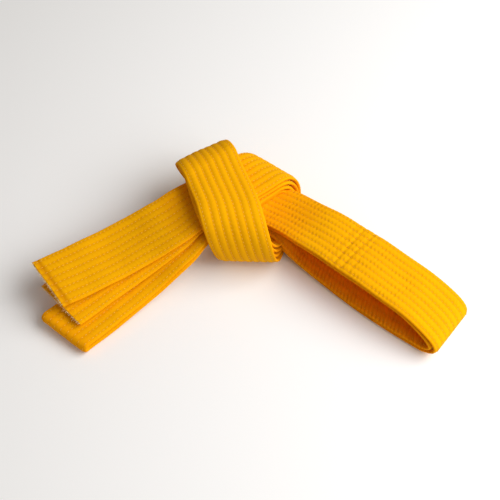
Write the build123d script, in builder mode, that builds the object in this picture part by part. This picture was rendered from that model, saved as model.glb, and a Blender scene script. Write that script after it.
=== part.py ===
"""A yellow martial arts belt, folded in four and tied in one overhand knot.

Millimetres. X runs from the cut ends to the loop, Y away from the front, Z up, and the belt
rests on Z = 0. The belt is one long strap: a cotton cover folded round plies of interlining and
sewn through with lengthwise rows of lockstitch. Folded in half twice it is a bundle of four
layers, which goes once through an overhand knot.

Layer 1 is the outer layer in the knot and layer 4 the inner one. Along the belt: cut end 1,
layer 1 through the knot, outer loop on the right, layer 4 back through the knot, fold on the
left, layer 3 through the knot, inner loop on the right, layer 2 back to cut end 2.
"""

import math
import os
from collections import namedtuple

from build123d import *

os.makedirs("parts", exist_ok=True)

# The strap
BELT_WIDTH = 40.0
BELT_THICKNESS = 3.1
COVER_THICKNESS = 0.6
COVER_SEAM_GAP = 0.6  # between the two raw edges of the cover, which meet along the back
PLY_COUNT = 3
PLY_CLEARANCE = 0.05
ROW_COUNT = 8
ROW_SPACING = 5.0
THREAD_WIDTH = 0.8
THREAD_HEIGHT = 0.15

# The bundle of four layers
LAYER_PITCH = 3.5
BUNDLE_PITCH = 4 * LAYER_PITCH
REST_HEIGHT = BELT_THICKNESS / 2 + THREAD_HEIGHT  # middle of a layer that lies on the ground

# The knot: four runs, each seen from above at its heading, joined by three half turns
IN_HEADING, BACK_HEADING, FRONT_HEADING, OUT_HEADING = 36.0, -108.0, 108.0, -35.0
BACK_LEVEL = 1.5 * LAYER_PITCH + REST_HEIGHT
OUT_LEVEL = BACK_LEVEL + BUNDLE_PITCH
IN_LEVEL = BACK_LEVEL + 2 * BUNDLE_PITCH
FRONT_LEVEL = BACK_LEVEL + 3 * BUNDLE_PITCH
KNOT_ENTRY = Vector(-34.0, 14.5)
IN_RUN, BACK_RUN, FRONT_RUN, OUT_RUN = 46.0, 32.0, 37.0, 40.0
TURN_STEPS = 6
EXIT_STEPS = 3  # the slant of the sections changes over these along the last run

# The right arm: a pair of layers round an open loop, in an upright plane
LOOP_HEADING = -40.0
LOOP_START = Vector(21.0, 22.5)
LOOP_PROFILE = [  # distance along the heading, height of the middle of the pair
    (12, 13.5),
    (26, 8.5),
    (45, 4.8),
    (70, 3.5),
    (100, 3.5),
    (130, 3.6),
    (140, 4.6),
    (145.4, 9),
    (143.6, 14.6),
    (134, 20),
    (112, 26.5),
    (85, 29.5),
    (55, 30),
    (30, 28.5),
    (12, 26),
]
LOOP_STEPS = 2

# The left arm: two free cut ends over one fold, each route from its end towards the knot
END_ROUTES = [
    [(-137, -45.5, 28), (-115, -33, 27), (-82, -14, 29), (-58, -2, 36)],
    [(-128.5, -56.5, 18.5), (-108, -40, 19), (-80, -19, 23.5), (-58, -4, 31)],
]
END_ACROSS = [(-12, 15.5, 3), (-14.5, 13.5, 3.5)]
FOLD_ROUTE = [(-124, -70.5, 7.4), (-105, -53, 8), (-80, -29, 13), (-58, -7, 24)]
FOLD_ACROSS = (-16, 11.5, 2.2)
FOLD_RADII = [3.3, 2.7]  # half of the gap between the two layers, at the fold and further on
FOLD_TURN_STEPS = 8
ARM_STEPS = 2
KNOT_LEAD = 14.0  # straight lead into the knot

BOX_CENTRE = Vector(-0.7, -8.4)  # of the finished belt, in the plan that the places above use

Station = namedtuple("Station", "centre half normal")  # half: half of the line across the strap
UP = Vector(0, 0, 1)


def plan(heading):
    """The level direction at a heading in degrees."""
    return Vector(math.cos(math.radians(heading)), math.sin(math.radians(heading)))


def oblique(heading, across_heading):
    """Half of a line across the strap, which may cross it at a slant."""
    slant = abs(math.sin(math.radians(heading - across_heading)))
    return plan(across_heading) * (BELT_WIDTH / 2 / slant)


def half_turn(start, headings, levels):
    """Stations round a half turn about a level axis, and where it ends in the plan."""
    axis_heading = sum(headings) / 2
    if math.cos(math.radians(headings[0] - axis_heading)) < 0:
        axis_heading += 180
    axis = plan(axis_heading)
    along = plan(headings[0]).dot(axis)
    outward = (plan(headings[0]) - axis * along).normalized()
    advance = along / plan(headings[0]).dot(outward)
    radius = (levels[0] - levels[1]) / 2  # negative on a turn that climbs
    side = math.copysign(1, radius)
    stations = []
    for step in range(TURN_STEPS + 1):
        angle = math.pi * step / TURN_STEPS
        normal = outward * math.sin(angle) + UP * (side * math.cos(angle))
        centre = start + UP * (sum(levels) / 2) + normal * abs(radius)
        centre += axis * (abs(radius) * angle * advance)
        stations.append(Station(centre, oblique(headings[0], axis_heading), normal))
    return stations, start + axis * (abs(radius) * math.pi * advance)


def knot_stations():
    """The middle of the bundle through the knot; the normal points to layer 1."""
    headings = [IN_HEADING, BACK_HEADING, FRONT_HEADING, OUT_HEADING]
    levels = [IN_LEVEL, BACK_LEVEL, FRONT_LEVEL, OUT_LEVEL]
    lengths = [IN_RUN, BACK_RUN, FRONT_RUN]
    place = KNOT_ENTRY
    stations = [Station(place + UP * IN_LEVEL, oblique(IN_HEADING, IN_HEADING - 90), UP)]
    for i in range(3):
        place += plan(headings[i]) * lengths[i]
        found, place = half_turn(place, headings[i : i + 2], levels[i : i + 2])
        stations += found
    turn_half = stations[-1].half
    exit_half = oblique(OUT_HEADING, LOOP_HEADING + 90)
    for step in range(1, EXIT_STEPS + 1):
        share = step / EXIT_STEPS
        centre = place + plan(OUT_HEADING) * (OUT_RUN * share) + UP * OUT_LEVEL
        half = turn_half * (1 - share) + exit_half * share
        stations.append(Station(centre, half, -UP))
    return one_sided(stations)


def one_sided(stations):
    """The stations with every half line pointing to the same edge of the strap."""
    result = []
    for i, (centre, half, normal) in enumerate(stations):
        ahead = stations[min(i + 1, len(stations) - 1)].centre
        travel = ahead - stations[max(i - 1, 0)].centre
        if travel.cross(normal).dot(half) < 0:
            half = -half
        result.append(Station(centre, half, normal))
    return result


def layer(stations, offset):
    """The stations moved along their normals."""
    return [Station(c + n * offset, h, n) for c, h, n in stations]


def smooth(points, steps):
    """Points along a curve through all the given ones, steps to a span."""
    wide = [points[0] * 2 - points[1]] + points + [points[-1] * 2 - points[-2]]
    result = []
    for a, b, c, d in zip(wide, wide[1:], wide[2:], wide[3:]):
        for step in range(steps):
            t = step / steps
            bend = (a * 2 - b * 5 + c * 4 - d) * (0.5 * t**2)
            twist = (b * 3 - a - c * 3 + d) * (0.5 * t**3)
            result.append(b + (c - a) * (0.5 * t) + bend + twist)
    return result + [points[-1]]


def arm(route, across, knot_end):
    """One layer of the left arm, from its end up to its first station in the knot."""
    lead = knot_end.centre - plan(IN_HEADING) * KNOT_LEAD
    centres = smooth(route + [lead, knot_end.centre], ARM_STEPS)
    first = Vector(across).normalized() * (BELT_WIDTH / 2)
    last = knot_end.half
    if first.dot(last) < 0:
        first = -first
    stations = []
    for i, centre in enumerate(centres[:-1]):
        share = i / (len(centres) - 1)
        share = share * share * (3 - 2 * share)
        half = (first * (1 - share) + last * share).normalized() * (BELT_WIDTH / 2)
        travel = centres[i + 1] - centres[max(i - 1, 0)]
        stations.append(Station(centre, half, half.cross(travel).normalized()))
    return stations


def fold_turn(lower_end, upper_end):
    """Stations round the fold on the left, from under to over it, without its two ends."""
    middle = (lower_end.centre + upper_end.centre) / 2
    rise = upper_end.centre - middle
    outward = lower_end.half.cross(rise).normalized() * rise.length
    stations = []
    for step in range(1, FOLD_TURN_STEPS):
        angle = math.pi * step / FOLD_TURN_STEPS
        ray = outward * math.sin(angle) - rise * math.cos(angle)
        stations.append(Station(middle + ray, lower_end.half, ray.normalized()))
    return stations


def right_loop(knot_exit):
    """The middle of the pair of layers round the loop, without its two ends in the knot."""
    down = knot_exit.centre - UP * LAYER_PITCH
    up = knot_exit.centre + UP * LAYER_PITCH
    points = [
        LOOP_START + plan(LOOP_HEADING) * distance + UP * height
        for distance, height in LOOP_PROFILE
    ]
    centres = smooth([down] + points + [up], LOOP_STEPS)
    half = oblique(LOOP_HEADING, LOOP_HEADING + 90)
    stations = []
    for before, centre, after in zip(centres, centres[1:], centres[2:]):
        normal = half.cross(after - before).normalized()
        stations.append(Station(centre, half, normal))
    return stations


def turned(stations):
    """The stations in the opposite order, with the other face of the strap in front."""
    return [Station(c, h, -n) for c, h, n in reversed(stations)]


def fold_layer(knot_end, side):
    """One layer of the folded left arm, over (1) or under (-1) the middle of the fold."""
    route = [Vector(point) for point in FOLD_ROUTE]
    rise = (route[1] - route[0]).cross(Vector(FOLD_ACROSS)).normalized()
    spread = FOLD_RADII + [LAYER_PITCH / 2, LAYER_PITCH / 2]
    apart = [point + rise * (side * gap) for point, gap in zip(route, spread)]
    return arm(apart, FOLD_ACROSS, knot_end)


def belt_stations():
    """All stations from cut end 1 to cut end 2; the normal points out of the front face."""
    knot = knot_stations()
    layers = [layer(knot, (1.5 - i) * LAYER_PITCH) for i in range(4)]
    loop = right_loop(knot[-1])
    outer, inner = layer(loop, LAYER_PITCH / 2), layer(loop, -LAYER_PITCH / 2)
    ends = [
        arm([Vector(p) for p in END_ROUTES[i]], END_ACROSS[i], layers[i][0])
        for i in range(2)
    ]
    upper, lower = fold_layer(layers[2][0], 1), fold_layer(layers[3][0], -1)
    path = ends[0] + layers[0] + outer
    path += turned(layers[3]) + turned(lower) + fold_turn(lower[0], upper[0])
    path += upper + layers[2]
    path += turned(inner) + turned(layers[1]) + turned(ends[1])
    return [Station(c - BOX_CENTRE, h, n) for c, h, n in path]


def across(station):
    """The plane of a section: X across the strap, Y out of its front face."""
    return Plane(
        station.centre, x_dir=station.half, z_dir=station.half.cross(station.normal)
    )


def slanted(outline, station):
    """An outline widened to suit a section that crosses the strap at a slant."""
    stretch = station.half.length / (BELT_WIDTH / 2)
    return [(x * stretch, y) for x, y in outline]


def box_outline(x, y, width, height):
    """A rectangle's corners about its centre."""
    w, h = width / 2, height / 2
    return [(x - w, y - h), (x + w, y - h), (x + w, y + h), (x - w, y + h)]


def cover_outline():
    """The cover's section: a sheet folded round the core, its edges meeting on the back."""
    outer_x, outer_y = BELT_WIDTH / 2, BELT_THICKNESS / 2
    inner_x, inner_y = outer_x - COVER_THICKNESS, outer_y - COVER_THICKNESS
    seam = COVER_SEAM_GAP / 2
    outside = [
        (seam, -outer_y),
        (outer_x, -outer_y),
        (outer_x, outer_y),
        (-outer_x, outer_y),
        (-outer_x, -outer_y),
        (-seam, -outer_y),
    ]
    inside = [
        (-seam, -inner_y),
        (-inner_x, -inner_y),
        (-inner_x, inner_y),
        (inner_x, inner_y),
        (inner_x, -inner_y),
        (seam, -inner_y),
    ]
    return outside + inside


belt = belt_stations()

with BuildPart() as cotton_cover:
    for station in belt:
        with BuildSketch(across(station)):
            with BuildLine():
                Polyline(*slanted(cover_outline(), station), close=True)
            make_face()
    loft(ruled=True)
cotton_cover.part.label = "cotton_cover"
export_step(cotton_cover.part, "parts/cotton_cover.step")

# The core: plies of interlining, one on the other inside the cover
cavity = BELT_THICKNESS - 2 * COVER_THICKNESS
ply_thickness = (cavity - (PLY_COUNT + 1) * PLY_CLEARANCE) / PLY_COUNT
ply_width = BELT_WIDTH - 2 * (COVER_THICKNESS + PLY_CLEARANCE)
for index in range(PLY_COUNT):
    height = (index - (PLY_COUNT - 1) / 2) * (ply_thickness + PLY_CLEARANCE)
    outline = box_outline(0, height, ply_width, ply_thickness)
    with BuildPart() as core_ply:
        for station in belt:
            with BuildSketch(across(station)):
                with BuildLine():
                    Polyline(*slanted(outline, station), close=True)
                make_face()
        loft(ruled=True)
    core_ply.part.label = f"core_ply_{index + 1}"
    export_step(core_ply.part, f"parts/{core_ply.part.label}.step")

# The stitching: each lockstitch row has a needle thread in front and a bobbin thread behind
thread_height = (BELT_THICKNESS + THREAD_HEIGHT) / 2
for name, side in (("needle_thread", 1), ("bobbin_thread", -1)):
    for index in range(ROW_COUNT):
        place = (index - (ROW_COUNT - 1) / 2) * ROW_SPACING
        outline = box_outline(place, side * thread_height, THREAD_WIDTH, THREAD_HEIGHT)
        with BuildPart() as thread:
            for station in belt:
                with BuildSketch(across(station)):
                    with BuildLine():
                        Polyline(*slanted(outline, station), close=True)
                    make_face()
            loft(ruled=True)
        thread.part.label = f"{name}_{index + 1}"
        export_step(thread.part, f"parts/{thread.part.label}.step")

length = sum((b.centre - a.centre).length for a, b in zip(belt, belt[1:]))
print("belt length", round(length), "mm,", len(belt), "sections")
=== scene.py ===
"""A yellow martial arts belt, folded in four and tied in one overhand knot, around its CAD frame.

Metres, in the frame of the part: X runs from the cut ends to the loop, Y away from the front, Z up.
The belt is one strap. Its path repeats the part's: cut end 1, layer 1 through the knot, outer loop
on the right, layer 4 back through the knot, fold on the left, layer 3, inner loop, layer 2, cut end 2.
Every piece of the belt is swept along that path in the strap's own coordinates: how far along,
how far across, and how high above the middle of the strap.
"""

import math
from collections import namedtuple

import bpy
import numpy as np
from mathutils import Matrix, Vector


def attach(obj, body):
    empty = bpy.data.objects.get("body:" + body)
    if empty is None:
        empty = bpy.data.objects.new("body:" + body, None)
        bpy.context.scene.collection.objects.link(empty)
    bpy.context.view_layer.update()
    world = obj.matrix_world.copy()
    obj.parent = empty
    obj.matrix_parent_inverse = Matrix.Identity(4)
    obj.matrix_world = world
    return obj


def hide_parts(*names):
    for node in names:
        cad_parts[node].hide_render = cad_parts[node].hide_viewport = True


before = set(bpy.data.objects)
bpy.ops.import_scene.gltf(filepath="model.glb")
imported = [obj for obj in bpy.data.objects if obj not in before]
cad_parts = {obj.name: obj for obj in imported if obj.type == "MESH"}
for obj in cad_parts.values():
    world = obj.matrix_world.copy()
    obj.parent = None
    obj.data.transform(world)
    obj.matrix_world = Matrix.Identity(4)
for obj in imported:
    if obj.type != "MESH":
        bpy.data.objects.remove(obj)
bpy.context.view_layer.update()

# The strap
BELT_WIDTH = 0.040
COVER_THICKNESS = 0.0006
SEAM_GAP = 0.0006
ROW_COUNT = 8
ROW_SPACING = 0.005
RIDGE_HEIGHT = 0.00172  # half of the strap's thickness between two rows of stitching
GROOVE_HEIGHT = 0.00108  # and at a row
EDGE_THINNING = 0.00045  # by which the long edges are thinner than the ridges
STITCH_LENGTH = 0.003
STITCH_LEAN = 0.12  # how far the stitches lag along the strap, as a share of the distance across it
THREAD_RADIUS = 0.00016
PLY_COUNT = 3
PLY_GAP = 0.00003

# The bundle of four layers and the knot, as in the part
LAYER_PITCH = 0.0035
BUNDLE_PITCH = 4 * LAYER_PITCH
REST_HEIGHT = 0.0017
IN_HEADING, BACK_HEADING, FRONT_HEADING, OUT_HEADING = 36.0, -108.0, 108.0, -35.0
BACK_LEVEL = 1.5 * LAYER_PITCH + REST_HEIGHT
OUT_LEVEL = BACK_LEVEL + BUNDLE_PITCH
IN_LEVEL = BACK_LEVEL + 2 * BUNDLE_PITCH
FRONT_LEVEL = BACK_LEVEL + 3 * BUNDLE_PITCH
KNOT_ENTRY = Vector((-0.034, 0.0145, 0))
IN_RUN, BACK_RUN, FRONT_RUN, OUT_RUN = 0.046, 0.032, 0.037, 0.040
TURN_STEPS = 24
EXIT_STEPS = 8

# The right arm
LOOP_HEADING = -40.0
LOOP_START = Vector((0.021, 0.0225, 0))
LOOP_PROFILE = [  # distance along the heading, height of the middle of the pair
    (0.012, 0.0135),
    (0.026, 0.0085),
    (0.045, 0.0048),
    (0.070, 0.0035),
    (0.100, 0.0035),
    (0.130, 0.0036),
    (0.140, 0.0046),
    (0.1454, 0.009),
    (0.1436, 0.0146),
    (0.134, 0.020),
    (0.112, 0.0265),
    (0.085, 0.0295),
    (0.055, 0.030),
    (0.030, 0.0285),
    (0.012, 0.026),
]

# The left arm
END_ROUTES = [
    [(-0.137, -0.0455, 0.028), (-0.115, -0.033, 0.027), (-0.082, -0.014, 0.029), (-0.058, -0.002, 0.036)],
    [(-0.1285, -0.0565, 0.0185), (-0.108, -0.040, 0.019), (-0.080, -0.019, 0.0235), (-0.058, -0.004, 0.031)],
]
END_ACROSS = [(-12, 15.5, 3), (-14.5, 13.5, 3.5)]
FOLD_ROUTE = [
    (-0.124, -0.0705, 0.0074),
    (-0.105, -0.053, 0.008),
    (-0.080, -0.029, 0.013),
    (-0.058, -0.007, 0.024),
]
FOLD_ACROSS = (-16, 11.5, 2.2)
FOLD_RADII = [0.0033, 0.0027]
FOLD_TURN_STEPS = 16
KNOT_LEAD = 0.014
CORNER_PULLS = [-0.001, 0.0052, -0.0055]  # how far each half turn is drawn in, most at its left edge
CURVE_STEPS = 12
BOX_CENTRE = Vector((-0.0007, -0.0084, 0))

STEP_LENGTH = 0.00075  # between two sections of the finished strap
PULL_EVERYWHERE = 0.2  # the share of a corner's pull that its right edge has too
PULL_SPREAD = 0.7
SPREADS = [  # place along the strap, how far to each side of it, share wider, shift; the part has none
    (0.350, 0.058, 0.055, (0.0013, 0, 0)),
    (0.580, 0.050, 0.02, (-0.0013, -0.0016, 0)),
    (1.862, 0.050, 0.02, (-0.0013, -0.0016, 0)),
    (0.786, 0.034, -0.07, (-0.0006, -0.0013, 0)),
    (1.650, 0.034, -0.07, (-0.0006, -0.0013, 0)),
    (0.668, 0.045, 0.03, (0.0024, 0.0004, 0)),
    (1.760, 0.043, 0.03, (0.0024, 0.0004, 0)),
    (0.060, 0.050, 0.03, (-0.0004, 0.0006, 0)),
    (1.094, 0.036, 0.04, (0.0036, -0.0043, -0.0007)),
    (1.323, 0.036, 0.04, (0.0036, -0.0043, -0.0007)),
]
FLAT_BEND = 80.0  # the curvature, per metre, that halves the ridges
UP = Vector((0, 0, 1))
Station = namedtuple("Station", "centre half normal pull", defaults=[Vector((0, 0, 0))])


# ---------------------------------------------------------------- the path of the strap


def plan(heading):
    """The level direction at a heading in degrees."""
    return Vector((math.cos(math.radians(heading)), math.sin(math.radians(heading)), 0))


def oblique(heading, across_heading):
    """Half of a line across the strap, which may cross it at a slant."""
    slant = abs(math.sin(math.radians(heading - across_heading)))
    return plan(across_heading) * (BELT_WIDTH / 2 / slant)


def half_turn(start, headings, levels, pull):
    """Stations round a half turn about a level axis, and where it ends in the plan."""
    axis_heading = sum(headings) / 2
    if math.cos(math.radians(headings[0] - axis_heading)) < 0:
        axis_heading += 180
    axis = plan(axis_heading)
    along = plan(headings[0]).dot(axis)
    outward = (plan(headings[0]) - axis * along).normalized()
    advance = along / plan(headings[0]).dot(outward)
    radius = (levels[0] - levels[1]) / 2
    side = math.copysign(1, radius)
    stations = []
    for step in range(TURN_STEPS + 1):
        angle = math.pi * step / TURN_STEPS
        normal = outward * math.sin(angle) + UP * (side * math.cos(angle))
        centre = start + UP * (sum(levels) / 2) + normal * abs(radius)
        centre += axis * (abs(radius) * angle * advance)
        drawn_in = outward * (pull * math.sin(angle) ** 2)
        stations.append(Station(centre, oblique(headings[0], axis_heading), normal, drawn_in))
    return stations, start + axis * (abs(radius) * math.pi * advance)


def one_sided(stations):
    """The stations with every half line pointing to the same edge of the strap."""
    result = []
    for i, (centre, half, normal, pull) in enumerate(stations):
        ahead = stations[min(i + 1, len(stations) - 1)].centre
        travel = ahead - stations[max(i - 1, 0)].centre
        if travel.cross(normal).dot(half) < 0:
            half = -half
        result.append(Station(centre, half, normal, pull))
    return result


def knot_stations():
    """The middle of the bundle through the knot; the normal points to layer 1."""
    headings = [IN_HEADING, BACK_HEADING, FRONT_HEADING, OUT_HEADING]
    levels = [IN_LEVEL, BACK_LEVEL, FRONT_LEVEL, OUT_LEVEL]
    lengths = [IN_RUN, BACK_RUN, FRONT_RUN]
    place = KNOT_ENTRY.copy()
    stations = [Station(place + UP * IN_LEVEL, oblique(IN_HEADING, IN_HEADING - 90), UP)]
    for i in range(3):
        place = place + plan(headings[i]) * lengths[i]
        found, place = half_turn(place, headings[i : i + 2], levels[i : i + 2], CORNER_PULLS[i])
        stations += found
    turn_half = stations[-1].half
    exit_half = oblique(OUT_HEADING, LOOP_HEADING + 90)
    for step in range(1, EXIT_STEPS + 1):
        share = step / EXIT_STEPS
        centre = place + plan(OUT_HEADING) * (OUT_RUN * share) + UP * OUT_LEVEL
        stations.append(Station(centre, turn_half * (1 - share) + exit_half * share, -UP))
    return one_sided(stations)


def layer(stations, offset):
    """The stations moved along their normals."""
    return [Station(c + n * offset, h, n, p) for c, h, n, p in stations]


def turned(stations):
    """The stations in the opposite order, with the other face of the strap in front."""
    return [Station(c, h, -n, p) for c, h, n, p in reversed(stations)]


def smooth(points, steps):
    """Points along a curve through all the given ones, steps to a span."""
    wide = [points[0] * 2 - points[1]] + points + [points[-1] * 2 - points[-2]]
    result = []
    for a, b, c, d in zip(wide, wide[1:], wide[2:], wide[3:]):
        for step in range(steps):
            t = step / steps
            bend = (a * 2 - b * 5 + c * 4 - d) * (0.5 * t**2)
            twist = (b * 3 - a - c * 3 + d) * (0.5 * t**3)
            result.append(b + (c - a) * (0.5 * t) + bend + twist)
    return result + [points[-1]]


def arm(route, across, knot_end):
    """One layer of the left arm, from its end up to its first station in the knot."""
    lead = knot_end.centre - plan(IN_HEADING) * KNOT_LEAD
    centres = smooth(route + [lead, knot_end.centre], CURVE_STEPS)
    first = Vector(across).normalized() * (BELT_WIDTH / 2)
    last = knot_end.half
    if first.dot(last) < 0:
        first = -first
    stations = []
    for i, centre in enumerate(centres[:-1]):
        share = i / (len(centres) - 1)
        share = share * share * (3 - 2 * share)
        half = (first * (1 - share) + last * share).normalized() * (BELT_WIDTH / 2)
        travel = centres[i + 1] - centres[max(i - 1, 0)]
        stations.append(Station(centre, half, half.cross(travel).normalized()))
    return stations


def fold_layer(knot_end, side):
    """One layer of the folded left arm, over (1) or under (-1) the middle of the fold."""
    route = [Vector(point) for point in FOLD_ROUTE]
    rise = (route[1] - route[0]).cross(Vector(FOLD_ACROSS)).normalized()
    spread = FOLD_RADII + [LAYER_PITCH / 2, LAYER_PITCH / 2]
    apart = [point + rise * (side * gap) for point, gap in zip(route, spread)]
    return arm(apart, FOLD_ACROSS, knot_end)


def fold_turn(lower_end, upper_end):
    """Stations round the fold on the left, from under to over it, without its two ends."""
    middle = (lower_end.centre + upper_end.centre) / 2
    rise = upper_end.centre - middle
    outward = lower_end.half.cross(rise).normalized() * rise.length
    stations = []
    for step in range(1, FOLD_TURN_STEPS):
        angle = math.pi * step / FOLD_TURN_STEPS
        ray = outward * math.sin(angle) - rise * math.cos(angle)
        stations.append(Station(middle + ray, lower_end.half, ray.normalized()))
    return stations


def right_loop(knot_exit):
    """The middle of the pair of layers round the loop, without its two ends in the knot."""
    down = knot_exit.centre - UP * LAYER_PITCH
    up = knot_exit.centre + UP * LAYER_PITCH
    points = [LOOP_START + plan(LOOP_HEADING) * distance + UP * height for distance, height in LOOP_PROFILE]
    centres = smooth([down] + points + [up], CURVE_STEPS)
    half = oblique(LOOP_HEADING, LOOP_HEADING + 90)
    stations = []
    for before, centre, after in zip(centres, centres[1:], centres[2:]):
        stations.append(Station(centre, half, half.cross(after - before).normalized()))
    return stations


def belt_stations():
    """All stations from cut end 1 to cut end 2, and the name of each one's part of the belt."""
    knot = knot_stations()
    layers = [layer(knot, (1.5 - i) * LAYER_PITCH) for i in range(4)]
    loop = right_loop(knot[-1])
    outer, inner = layer(loop, LAYER_PITCH / 2), layer(loop, -LAYER_PITCH / 2)
    ends = [arm([Vector(p) for p in END_ROUTES[i]], END_ACROSS[i], layers[i][0]) for i in range(2)]
    upper, lower = fold_layer(layers[2][0], 1), fold_layer(layers[3][0], -1)
    path = [
        ("arm", ends[0]),
        ("knot", layers[0]),
        ("loop", outer),
        ("knot", turned(layers[3])),
        ("arm", turned(lower)),
        ("arm", fold_turn(lower[0], upper[0])),
        ("arm", upper),
        ("knot", layers[2]),
        ("loop", turned(inner)),
        ("knot", turned(layers[1])),
        ("arm", turned(ends[1])),
    ]
    stations = [Station(c - BOX_CENTRE, h, n, p) for _, part in path for c, h, n, p in part]
    names = [name for name, part in path for _ in part]
    return stations, names


def unit(vectors):
    """The vectors at length 1."""
    return vectors / np.linalg.norm(vectors, axis=-1, keepdims=True)


def soften(values, reach):
    """Running averages along the first axis, over reach sections to each side; the ends stay."""
    for _ in range(2):
        padded = np.concatenate([np.repeat(values[:1], reach, 0), values, np.repeat(values[-1:], reach, 0)])
        sums = np.cumsum(np.concatenate([np.zeros_like(padded[:1]), padded]), axis=0)
        values = (sums[2 * reach + 1 :] - sums[: -2 * reach - 1]) / (2 * reach + 1)
    return values


class Strap:
    """The strap's path in even steps: centre, half, normal and travel of every section."""

    def __init__(self):
        stations, names = belt_stations()
        centre, half, normal, pull = (np.array([list(s[k]) for s in stations]) for k in range(4))
        reach = np.concatenate([[0], np.cumsum(np.linalg.norm(np.diff(centre, axis=0), axis=1))])
        self.length = reach[-1]
        count = round(self.length / STEP_LENGTH)
        self.along = np.linspace(0, self.length, count + 1)
        self.centre, self.half, self.normal, self.pull = (
            np.stack([np.interp(self.along, reach, values[:, k]) for k in range(3)], axis=1)
            for values in (centre, half, normal, pull)
        )
        self.normal = unit(self.normal)
        for place, near, spread, shift in SPREADS:
            share = np.exp(-(((self.along - place) / near) ** 2))[:, None]
            self.half *= 1 + spread * share
            self.centre += np.array(shift) * share
        self.drift = (0.018 * np.sin(self.along * 23.0 + 1.0) + 0.012 * np.sin(self.along * 61.0))[:, None]
        travel = unit(np.gradient(self.centre, axis=0))
        bend = np.linalg.norm(np.gradient(travel, axis=0), axis=1)[:, None] / STEP_LENGTH
        self.in_knot = soften(self.share_of(names, reach, "knot"), 8)
        self.in_loop = soften(self.share_of(names, reach, "loop"), 8)
        flattened = 1 + (soften(bend, 3) / FLAT_BEND) ** 2
        self.plump = (0.33 + 0.67 * self.in_knot + 0.2 * self.in_loop) / flattened

    def share_of(self, names, reach, name):
        """1 along the named part of the belt, 0 elsewhere."""
        return np.interp(self.along, reach, np.array([n == name for n in names], float))[:, None]

    def point(self, across, height):
        """Places at distances across and heights, each one number per section or one column each."""
        shift = (across / (BELT_WIDTH / 2) * np.ones_like(height))[..., None]
        flat = self.centre[:, None] + self.half[:, None] * (shift + self.drift[:, None])
        to_left = np.clip((1 - shift * np.sign(self.half[:, None, :1])) / 2, 0, 1)
        flat = flat - self.pull[:, None] * (PULL_EVERYWHERE + (1 - PULL_EVERYWHERE) * to_left**PULL_SPREAD)
        return flat + self.normal[:, None] * height[..., None]

    def reach(self, across):
        """How far along the strap each column's points lie, which differs where sections are slanted."""
        line = self.centre[:, None] + self.half[:, None] * (across / (BELT_WIDTH / 2))[..., None]
        steps = np.linalg.norm(np.diff(line, axis=0), axis=-1)
        return np.concatenate([np.zeros((1, steps.shape[1])), np.cumsum(steps, axis=0)])


strap = Strap()
random = np.random.default_rng(7)
row_places = (np.arange(ROW_COUNT) - (ROW_COUNT - 1) / 2) * ROW_SPACING
row_phases = row_places * STITCH_LEAN

# ---------------------------------------------------------------- the shape of the strap

WANDERS = [  # wave vector per metre, direction, height and phase of each gentle unevenness in space
    ((95, 60, 40), (0.3, 0.2, 1.0), 0.00045, 0.4),
    ((-70, 120, 55), (0.5, -0.6, 0.6), 0.00035, 1.9),
    ((150, -90, 80), (-0.2, 0.5, 0.8), 0.00022, 3.3),
    ((210, 160, -120), (0.4, 0.3, 0.9), 0.00012, 5.1),
]
CREASE_WIDTH = 0.0010
PINCH_ALONG, PINCH_ACROSS = 0.0009, 0.0023  # how far a stitch's pinch reaches
# GROOVE_WIDTH: how wide the painted shade along each row of stitching is
GROOVE_WIDTH = 0.0007
END_BAND_WIDTH = 0.0017
END_BAND_PLACE = 0.0036  # of the crease, with a darker band along it, by cut end 1
SHADED = [  # from, to, face (1 front, -1 back), share: painted shade, a deeper orange on faces that lie in shade
    (0.000, 0.112, -1, 1.0),
    (0.098, 0.130, 1, 0.3),
    (0.540, 0.770, -1, 1.0),
    (0.766, 0.800, 1, 0.3),
    (1.186, 1.213, 1, 0.5),
    (1.660, 1.915, 1, 1.0),
    (2.285, 2.400, 1, 1.0),
]
CREASES = [  # distance along the strap from cut end 1, across lean, depth
    (END_BAND_PLACE, 0.0, 0.0003),
    (0.7250, 0.10, 0.0003),
    (0.7300, 0.02, 0.0005),
    (0.7365, 0.08, 0.0005),
    (0.7415, 0.12, 0.0003),
]


def wander(points):
    """Small smooth moves of the whole bundle, the same for every layer at a place."""
    moved = points.copy()
    for wave, direction, height, phase in WANDERS:
        level = np.clip(points[..., 2] / 0.012, 0, 1)
        size = np.sin(points @ np.array(wave) + phase) * height * level
        moved += size[..., None] * np.array(direction)
    return moved


def quilt(across, reach):
    """Half the strap's thickness at each point: ridges between rows, pinched at every stitch."""
    between = np.abs(np.sin(np.pi * (across - ROW_SPACING / 2) / ROW_SPACING))
    height = RIDGE_HEIGHT - (RIDGE_HEIGHT - GROOVE_HEIGHT) * strap.plump * (1 - between**0.5)
    height = height - EDGE_THINNING * np.clip((np.abs(across) - row_places[-1]) / 0.001, 0, 1)
    pinch = np.zeros_like(reach)
    for place, phase in zip(row_places, row_phases):
        off_hole = (reach - phase + STITCH_LENGTH / 2) % STITCH_LENGTH - STITCH_LENGTH / 2
        near = np.exp(-((off_hole / PINCH_ALONG) ** 2) - ((across - place) / PINCH_ACROSS) ** 2)
        pinch = pinch + near
    loose = 0.00035 - 0.00015 * strap.in_knot + 0.0001 * strap.in_loop
    return height - pinch * loose * np.minimum(1, 0.35 + 1.2 * np.sqrt(strap.plump))


def crease(across, reach):
    """How far the strap is pressed in by the cross creases."""
    depth = np.zeros_like(reach)
    for place, lean, size in CREASES:
        depth = depth + size * np.exp(-(((reach - place - lean * across) / CREASE_WIDTH) ** 2))
    return depth


def new_piece(name, points, faces):
    """An object in the scene, with a mesh of its own."""
    mesh = bpy.data.meshes.new(name)
    mesh.from_pydata(points, [], faces)
    thing = bpy.data.objects.new(name, mesh)
    bpy.context.scene.collection.objects.link(thing)
    return thing


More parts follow.
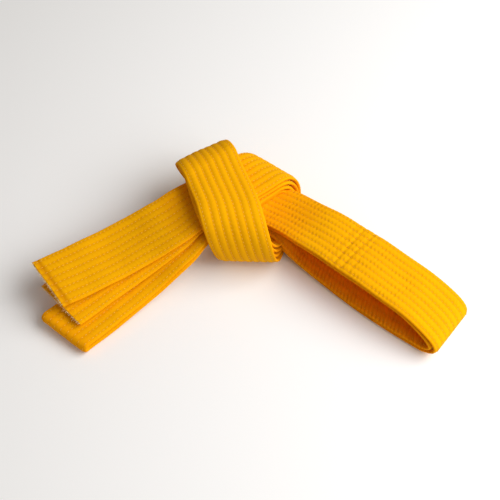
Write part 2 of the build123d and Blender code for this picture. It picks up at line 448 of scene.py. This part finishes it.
def tube(name, points, along, around):
    """A closed tube through rings of points, which run anticlockwise seen from its start."""
    corners = np.arange(points.shape[0] * points.shape[1]).reshape(points.shape[:2])
    after = np.roll(corners, -1, axis=1)
    quads = np.stack([corners[:-1], corners[1:], after[1:], after[:-1]], axis=-1)
    faces = quads.reshape(-1, 4).tolist() + [corners[0].tolist(), corners[-1, ::-1].tolist()]
    thing = new_piece(name, points.reshape(-1, 3).tolist(), faces)
    store_map(thing.data, np.broadcast_to(along, corners.shape), np.broadcast_to(around, corners.shape))
    thing.data.shade_smooth()
    return thing


def swept(name, across, height):
    """A closed tube along the strap, with one column of points at each distance across."""
    return tube(name, wander(strap.point(across, height)), strap.reach(across), across)


def store_map(mesh, reach, across):
    """The strap map: U along the strap and V across it, both in metres."""
    corners = np.zeros(len(mesh.loops), np.int32)
    mesh.loops.foreach_get("vertex_index", corners)
    flat = np.stack([reach.ravel()[corners], across.ravel()[corners]], axis=1)
    mesh.uv_layers.new(name="strap").data.foreach_set("uv", flat.astype(np.float32).ravel())


def store_value(thing, name, values):
    """One number per point, for the materials."""
    attribute = thing.data.attributes.new(name, "FLOAT", "POINT")
    attribute.data.foreach_set("value", values.astype(np.float32).ravel())


# ---------------------------------------------------------------- materials


class Nodes:
    """A material, with short ways to write its node tree."""

    def __init__(self, name):
        self.material = bpy.data.materials.new(name)
        self.material.use_nodes = True
        self.tree = self.material.node_tree
        self.shader = self.tree.nodes["Principled BSDF"]

    def add(self, kind, settings=None, **inputs):
        """A node with properties from settings and inputs set to numbers or linked to sockets."""
        node = self.tree.nodes.new(kind)
        for key, value in (settings or {}).items():
            setattr(node, key, value)
        for key, value in inputs.items():
            self.put(node.inputs[int(key[1:]) if key[0] == "i" and key[1:].isdigit() else key], value)
        return node

    def put(self, socket, value):
        """Sets a socket, or links it."""
        if isinstance(value, bpy.types.NodeSocket):
            self.tree.links.new(value, socket)
        else:
            socket.default_value = value

    def math(self, operation, a, b=0.0):
        """One arithmetic step."""
        return self.add("ShaderNodeMath", {"operation": operation}, i0=a, i1=b).outputs[0]

    def mix(self, share, a, b):
        """A colour between two."""
        node = self.add("ShaderNodeMix", {"data_type": "RGBA"})
        self.put(node.inputs[0], share)
        self.put(node.inputs[6], a)
        self.put(node.inputs[7], b)
        return node.outputs[2]

    def strap_map(self):
        """Distances along and across the strap, in metres."""
        place = self.add("ShaderNodeUVMap", {"uv_map": "strap"}).outputs[0]
        split = self.add("ShaderNodeSeparateXYZ", None, i0=place)
        return split.outputs[0], split.outputs[1]

    def noise(self, along, across, along_size, across_size, detail=2.0):
        """Noise from 0 to 1, with patches of the given size along and across the strap."""
        u = self.math("DIVIDE", along, along_size)
        v = self.math("DIVIDE", across, across_size)
        place = self.add("ShaderNodeCombineXYZ", None, i0=u, i1=v).outputs[0]
        settings = {"noise_dimensions": "2D"}
        return self.add("ShaderNodeTexNoise", settings, Vector=place, Scale=1.0, Detail=detail).outputs[0]

    def wave(self, value, period):
        """A sine of a distance."""
        return self.math("SINE", self.math("MULTIPLY", value, 2 * math.pi / period))

    def sink(self, depth, strength, distance, **normal):
        """A bump that sinks into the surface where the depth is large."""
        settings = {"invert": True}
        size = {"Strength": strength, "Distance": distance}
        return self.add("ShaderNodeBump", settings, Height=depth, **size, **normal).outputs[0]


def weave(nodes, along, across, pitch):
    """Threads of a plain weave, from -1 to 1."""
    warp, weft = nodes.wave(along, pitch), nodes.wave(across, pitch)
    return nodes.math("MULTIPLY", warp, weft)


def gathers(nodes, along, across, painted_shade):
    """Depth of crosswise folds: deepest halfway between two holes, which softens the shape's own pinches."""
    turn = nodes.math("MULTIPLY", across, math.pi / ROW_SPACING)
    ridge = nodes.math("ABSOLUTE", nodes.math("COSINE", turn))
    lag = nodes.math("SUBTRACT", along, nodes.math("MULTIPLY", across, STITCH_LEAN))
    fold = nodes.wave(nodes.math("SUBTRACT", lag, STITCH_LENGTH / 4), STITCH_LENGTH)
    uneven = nodes.noise(along, across, 0.009, 0.006, 2.0)
    size = nodes.math("ADD", nodes.math("SUBTRACT", 1.25, ridge), nodes.math("POWER", painted_shade, 2.0))
    return nodes.math("MULTIPLY", nodes.math("MULTIPLY", fold, size), uneven)


CLOTH_DEPTH = 0.0002
GATHER_DEPTH = 0.00042


def cover_material():
    """Golden yellow cotton: weave, slubs, uneven dye, painted shade in the grooves and on shaded faces, soft
    sheen.
    """
    nodes = Nodes("cotton_cover")
    along, across = nodes.strap_map()
    groove_shade = nodes.add("ShaderNodeAttribute", {"attribute_name": "groove_shade"}).outputs["Fac"]
    painted_shade = nodes.add("ShaderNodeAttribute", {"attribute_name": "painted_shade"}).outputs["Fac"]
    cloud = nodes.noise(along, across, 0.016, 0.010, 3.0)
    slub = nodes.noise(along, across, 0.0006, 0.009, 2.0)
    colour = nodes.mix(cloud, (0.88, 0.395, 0.0010, 1), (0.95, 0.465, 0.0012, 1))
    colour = nodes.mix(nodes.math("MULTIPLY", slub, 0.35), colour, (0.82, 0.33, 0.001, 1))
    # painted shade: darker along the grooves of the rows of stitching
    colour = nodes.mix(nodes.math("MULTIPLY", groove_shade, 0.45), colour, (0.62, 0.20, 0.001, 1))
    end_band = nodes.add("ShaderNodeAttribute", {"attribute_name": "end_band"}).outputs["Fac"]
    # a darker band along the crease by cut end 1
    colour = nodes.mix(nodes.math("MULTIPLY", end_band, 0.6), colour, (0.55, 0.17, 0.001, 1))
    # painted shade: deeper orange on the rims and on faces that lie in shade
    colour = nodes.mix(nodes.math("MULTIPLY", painted_shade, 0.7), colour, (0.93, 0.24, 0.001, 1))
    nodes.put(nodes.shader.inputs["Base Color"], colour)
    rough = nodes.add("ShaderNodeMapRange", None, i0=cloud, i3=0.74, i4=0.92).outputs[0]
    nodes.put(nodes.shader.inputs["Roughness"], rough)
    threads = weave(nodes, along, across, 0.0009)
    pucker = nodes.noise(along, across, 0.0016, 0.0045, 2.0)
    depth = nodes.math("ADD", nodes.math("MULTIPLY", threads, 0.25), nodes.math("MULTIPLY", slub, 0.5))
    depth = nodes.math("ADD", depth, nodes.math("MULTIPLY", pucker, 1.6))
    fine = nodes.sink(depth, 0.5, CLOTH_DEPTH)
    loose = nodes.add("ShaderNodeAttribute", {"attribute_name": "loose"}).outputs["Fac"]
    gather = nodes.math("MULTIPLY", gathers(nodes, along, across, painted_shade), loose)
    nodes.put(nodes.shader.inputs["Normal"], nodes.sink(gather, 1.0, GATHER_DEPTH, Normal=fine))
    nodes.shader.inputs["Sheen Weight"].default_value = 0.03
    nodes.shader.inputs["Sheen Roughness"].default_value = 0.5
    nodes.shader.inputs["Sheen Tint"].default_value = (1.0, 0.65, 0.08, 1)
    nodes.shader.inputs["Specular IOR Level"].default_value = 0.03
    return nodes.material


def core_material():
    """Undyed interlining with a coarse weave."""
    nodes = Nodes("interlining")
    along, across = nodes.strap_map()
    fibre = nodes.noise(along, across, 0.0012, 0.0005, 3.0)
    colour = nodes.mix(fibre, (0.92, 0.68, 0.30, 1), (1.0, 0.84, 0.50, 1))
    nodes.put(nodes.shader.inputs["Base Color"], colour)
    depth = nodes.math("ADD", weave(nodes, along, across, 0.0011), fibre)
    nodes.put(nodes.shader.inputs["Normal"], nodes.sink(depth, 0.7, CLOTH_DEPTH))
    nodes.shader.inputs["Roughness"].default_value = 0.95
    return nodes.material


def thread_material():
    """Pale yellow sewing thread with the twist of its plies."""
    nodes = Nodes("sewing_thread")
    along, across = nodes.strap_map()
    twist = nodes.wave(nodes.math("ADD", along, nodes.math("MULTIPLY", across, 0.6)), 0.0007)
    patch = nodes.noise(along, across, 0.006, 0.004, 2.0)
    pale = nodes.add("ShaderNodeAttribute", {"attribute_name": "pale"}).outputs["Fac"]
    colour = nodes.mix(patch, (0.95, 0.46, 0.006, 1), (1.0, 0.62, 0.07, 1))
    colour = nodes.mix(pale, (0.90, 0.40, 0.0015, 1), colour)
    nodes.put(nodes.shader.inputs["Base Color"], colour)
    nodes.put(nodes.shader.inputs["Normal"], nodes.sink(twist, 0.5, 0.0001))
    nodes.shader.inputs["Roughness"].default_value = 0.55
    nodes.shader.inputs["Sheen Weight"].default_value = 0.2
    return nodes.material


def finish_piece(thing, material, slot, *nodes):
    """Material, body and the CAD nodes that the piece stands for; the slot is not used."""
    thing.data.materials.append(material)
    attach(thing, "root")
    if nodes:
        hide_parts(*nodes)
    return thing


# ---------------------------------------------------------------- the cover and its core

FACE_EDGE = 0.0185  # where the flat faces end and the rounded long edges begin
EDGE_ROUND = BELT_WIDTH / 2 - FACE_EDGE
EDGE_STEPS = 6
INNER_EDGE = 0.0189


def columns(spacing):
    """Distances across one face, with one on every row and one at each edge of the face."""
    last = row_places[-1]
    inside = np.linspace(-last, last, round(2 * last / spacing) + 1)
    return np.concatenate([[-FACE_EDGE], inside, [FACE_EDGE]])


def cover_ring():
    """The cover's section: across, side (1 front, -1 back), edge roundness, layer (1 outer, 0 inner)."""
    front = columns(0.001)
    back = columns(0.00125)
    ring = []
    ring += [(x, -1, 1, 1) for x in back[back > SEAM_GAP / 2]]
    ring.insert(0, (SEAM_GAP / 2, -1, 1, 1))
    angles = np.pi * np.arange(1, EDGE_STEPS) / EDGE_STEPS
    ring += [(FACE_EDGE + EDGE_ROUND * math.sin(a), 1, -math.cos(a), 1) for a in angles]
    ring += [(x, 1, 1, 1) for x in front[::-1]]
    ring += [(-FACE_EDGE - EDGE_ROUND * math.sin(a), 1, math.cos(a), 1) for a in angles]
    ring += [(x, -1, 1, 1) for x in back[back < -SEAM_GAP / 2]]
    ring.append((-SEAM_GAP / 2, -1, 1, 1))
    inner = np.concatenate([[-INNER_EDGE], np.arange(-7, 8) * ROW_SPACING / 2, [INNER_EDGE]])
    ring.append((-SEAM_GAP / 2, -1, 1, 0))
    ring += [(x, -1, 1, 0) for x in inner[inner < -SEAM_GAP / 2][::-1]]
    ring += [(x, 1, 1, 0) for x in inner]
    ring += [(x, -1, 1, 0) for x in inner[inner > SEAM_GAP / 2][::-1]]
    ring.append((SEAM_GAP / 2, -1, 1, 0))
    return np.array(ring).T


def make_cover(material):
    """The cotton cover: one sheet folded round the core, its raw edges meeting along the back."""
    across, side, roundness, outer = cover_ring()
    reach = strap.reach(across)
    flat_across = np.clip(across, -FACE_EDGE, FACE_EDGE)[None, :]
    half_height = quilt(flat_across, reach)
    height = side * roundness * half_height - side * COVER_THICKNESS * (1 - outer)
    height = height - crease(flat_across, reach) * outer
    across = np.broadcast_to(across, reach.shape)
    cover = swept("belt_cover", across, height)
    off_row = across % ROW_SPACING - ROW_SPACING / 2
    # painted shade along the groove of every row of stitching
    store_value(cover, "groove_shade", np.exp(-((off_row / GROOVE_WIDTH) ** 2)) * (np.abs(across) < FACE_EDGE))
    loose = 0.35 + 0.65 * strap.in_loop - 0.15 * strap.in_knot
    store_value(cover, "loose", np.broadcast_to(loose, across.shape))
    # painted shade: a deeper orange on the rounded long edges and on the shaded faces listed in SHADED
    painted_shade = 0.5 * (1 - roundness**2) * np.ones_like(reach)
    for start, end, face, share in SHADED:
        facing = np.clip(side * roundness * face, 0, 1) ** 0.5 * outer
        painted_shade = painted_shade + share * facing * ((strap.along >= start) & (strap.along <= end))[:, None]
    store_value(cover, "painted_shade", np.clip(soften(painted_shade, 9), 0, 1))
    store_value(cover, "end_band", np.exp(-(((reach - END_BAND_PLACE) / END_BAND_WIDTH) ** 2)))
    return finish_piece(cover, material, "cover", "cotton_cover")


def make_ply(index, material):
    """One ply of the core, quilted with the cover round it."""
    spread = np.concatenate([[-INNER_EDGE], np.arange(-7, 8) * ROW_SPACING / 2, [INNER_EDGE]]) * 0.995
    across = np.concatenate([spread, spread[::-1]])
    top = np.concatenate([np.zeros(len(spread)), np.ones(len(spread))])
    reach = strap.reach(across)
    room = quilt(across[None, :], reach) - COVER_THICKNESS - PLY_GAP
    share = 2 * (index + top) / PLY_COUNT - 1
    height = room * share + PLY_GAP * (0.5 - top)
    ply = swept(f"interlining_ply_{index + 1}", np.broadcast_to(across, reach.shape), height)
    return finish_piece(ply, material, "core", f"core_ply_{index + 1}")


FIBRE_COUNT = 260
FIBRE_RADIUS = 0.00008
FIBRE_STEPS = 4
FIBRE_HEIGHT = 0.0014  # above or below the middle of the strap, at most


def make_fringe(number, section, inside, material):
    """Loose fibres of the interlining all along one cut end."""
    outward = unit(strap.centre[section] - strap.centre[inside])
    points, faces, flat = [], [], []
    for _ in range(FIBRE_COUNT):
        across = random.uniform(-INNER_EDGE, INNER_EDGE)
        height = FIBRE_HEIGHT * (1 - 2 * random.random() ** 2)
        height *= np.sign(strap.normal[section, 2])
        root = strap.centre[section] + strap.half[section] * (across / (BELT_WIDTH / 2))
        root = root + strap.normal[section] * height
        length = random.uniform(0.0005, 0.0014) + 0.0012 * random.random() ** 6
        sway = random.normal(0, 0.35, 3) + strap.normal[section] * (0.6 * np.sign(strap.normal[section, 2]))
        side = unit(np.cross(outward, sway))
        other = np.cross(outward, side)
        first = len(points)
        for step in range(FIBRE_STEPS):
            share = step / (FIBRE_STEPS - 1)
            middle = root + outward * (length * (share - 0.3)) + sway * (length * share**2)
            radius = FIBRE_RADIUS * (1 - 0.6 * share)
            points += [middle + ray * radius for ray in (side, other, -side, -other)]
            flat += [(length * share, k * FIBRE_RADIUS) for k in range(4)]
            if step:
                base = first + 4 * (step - 1)
                ring = [(base + k, base + (k + 1) % 4) for k in range(4)]
                faces += [[a, b, b + 4, a + 4] for a, b in ring]
        faces += [[first + 3, first + 2, first + 1, first], [len(points) - 4 + k for k in range(4)]]
    fringe = new_piece(f"frayed_end_{number}", wander(np.array(points)).tolist(), faces)
    along, around = np.array(flat).T
    store_map(fringe.data, along, around)
    return finish_piece(fringe, material, "core")


# ---------------------------------------------------------------- the stitching

THREAD_SIDES = 6
THREAD_STEPS = 6  # to each stitch
THREAD_START = 0.0015  # from each cut end
DIVE_DEPTH, DIVE_REACH = 0.0008, 0.0008
THREAD_SWAY = 0.00005


def make_thread(row, side, material):
    """One thread of a lockstitch row: it lies on the cloth and dives into it at every hole."""
    across = np.array([row_places[row]])
    column = strap.reach(across)[:, 0]
    surface = quilt(across[None, :], strap.reach(across))[:, 0]
    lengths = np.arange(THREAD_START, column[-1] - THREAD_START, STITCH_LENGTH / THREAD_STEPS)
    off_hole = (lengths - row_phases[row] + STITCH_LENGTH / 2) % STITCH_LENGTH - STITCH_LENGTH / 2
    dive = DIVE_DEPTH * np.exp(-((off_hole / DIVE_REACH) ** 2))
    lift = np.interp(lengths, column, surface) + THREAD_RADIUS * 0.9 - dive
    sway = random.normal(0, THREAD_SWAY, len(lengths))
    base = strap.point(across[None, :].repeat(len(column), 0), np.zeros((len(column), 1)))[:, 0]
    place = np.stack([np.interp(lengths, column, base[:, k]) for k in range(3)], axis=1)
    up = unit(np.stack([np.interp(lengths, column, strap.normal[:, k]) for k in range(3)], axis=1)) * side
    travel = unit(np.gradient(place, axis=0))
    aside = unit(np.cross(up, travel))
    middle = place + up * lift[:, None] + aside * sway[:, None]
    direction = unit(np.gradient(middle, axis=0))
    upright = unit(up - direction * np.sum(up * direction, axis=1, keepdims=True))
    beside = np.cross(direction, upright)
    turns = 2 * np.pi * np.arange(THREAD_SIDES) / THREAD_SIDES
    rim = beside[:, None] * np.cos(turns)[None, :, None] + upright[:, None] * np.sin(turns)[None, :, None]
    points = wander(middle[:, None] + rim * THREAD_RADIUS)
    face = "front" if side > 0 else "back"
    thread = tube(f"stitching_{face}_{row + 1}", points, lengths[:, None], turns * THREAD_RADIUS)
    pale = 1 - 0.85 * np.interp(lengths, column, strap.in_loop[:, 0])
    store_value(thread, "pale", np.repeat(pale, THREAD_SIDES))
    kind = "needle" if side > 0 else "bobbin"
    return finish_piece(thread, material, "thread", f"{kind}_thread_{row + 1}")


# ---------------------------------------------------------------- the studio

CAMERA_PLACE = (0.0007, -0.3184, 0.5032)
CAMERA_TILT = 33.0
CAMERA_LENS = 58.75
FLOOR_REACH = 3.0


def make_camera():
    """The camera, at the angle of the reference view."""
    data = bpy.data.cameras.new("camera")
    data.lens = CAMERA_LENS
    camera = bpy.data.objects.new("camera", data)
    camera.location = CAMERA_PLACE
    camera.rotation_euler = (math.radians(CAMERA_TILT), 0, 0)
    bpy.context.scene.collection.objects.link(camera)
    bpy.context.scene.camera = camera


def make_floor():
    """A plain white floor."""
    corners = [(x * FLOOR_REACH, y * FLOOR_REACH, 0) for x, y in ((-1, -1), (1, -1), (1, 1), (-1, 1))]
    floor = new_piece("floor", corners, [(0, 1, 2, 3)])
    nodes = Nodes("floor")
    nodes.shader.inputs["Base Color"].default_value = (0.93, 0.93, 0.93, 1)
    nodes.shader.inputs["Roughness"].default_value = 0.9
    nodes.shader.inputs["Specular IOR Level"].default_value = 0.1
    floor.data.materials.append(nodes.material)


def make_light(name, place, target, size, energy):
    """A soft area light that looks at a point."""
    data = bpy.data.lights.new(name, "AREA")
    data.energy, data.size = energy, size
    light = bpy.data.objects.new(name, data)
    light.location = place
    light.rotation_euler = (Vector(target) - Vector(place)).to_track_quat("-Z", "Y").to_euler()
    bpy.context.scene.collection.objects.link(light)


def make_studio():
    """Camera, floor, sky and lights."""
    make_camera()
    make_floor()
    make_light("key", (0.72, -0.02, 0.80), (0, 0, 0.02), 0.85, 12.0)
    make_light("front", (0.75, -0.65, 0.75), (0, 0, 0.02), 0.7, 3.6)
    world = bpy.data.worlds.new("studio")
    world.use_nodes = True
    sky = world.node_tree.nodes["Background"]
    sky.inputs[0].default_value = (1.0, 0.93, 0.85, 1)
    sky.inputs[1].default_value = 0.27
    bpy.context.scene.world = world
    bpy.context.scene.view_settings.view_transform = "Standard"


cover_cloth, core_cloth, sewing_thread = cover_material(), core_material(), thread_material()
make_cover(cover_cloth)
for ply_index in range(PLY_COUNT):
    make_ply(ply_index, core_cloth)
make_fringe(1, 0, 4, core_cloth)
make_fringe(2, -1, -5, core_cloth)
for row_index in range(ROW_COUNT):
    make_thread(row_index, 1, sewing_thread)
    make_thread(row_index, -1, sewing_thread)
make_studio()
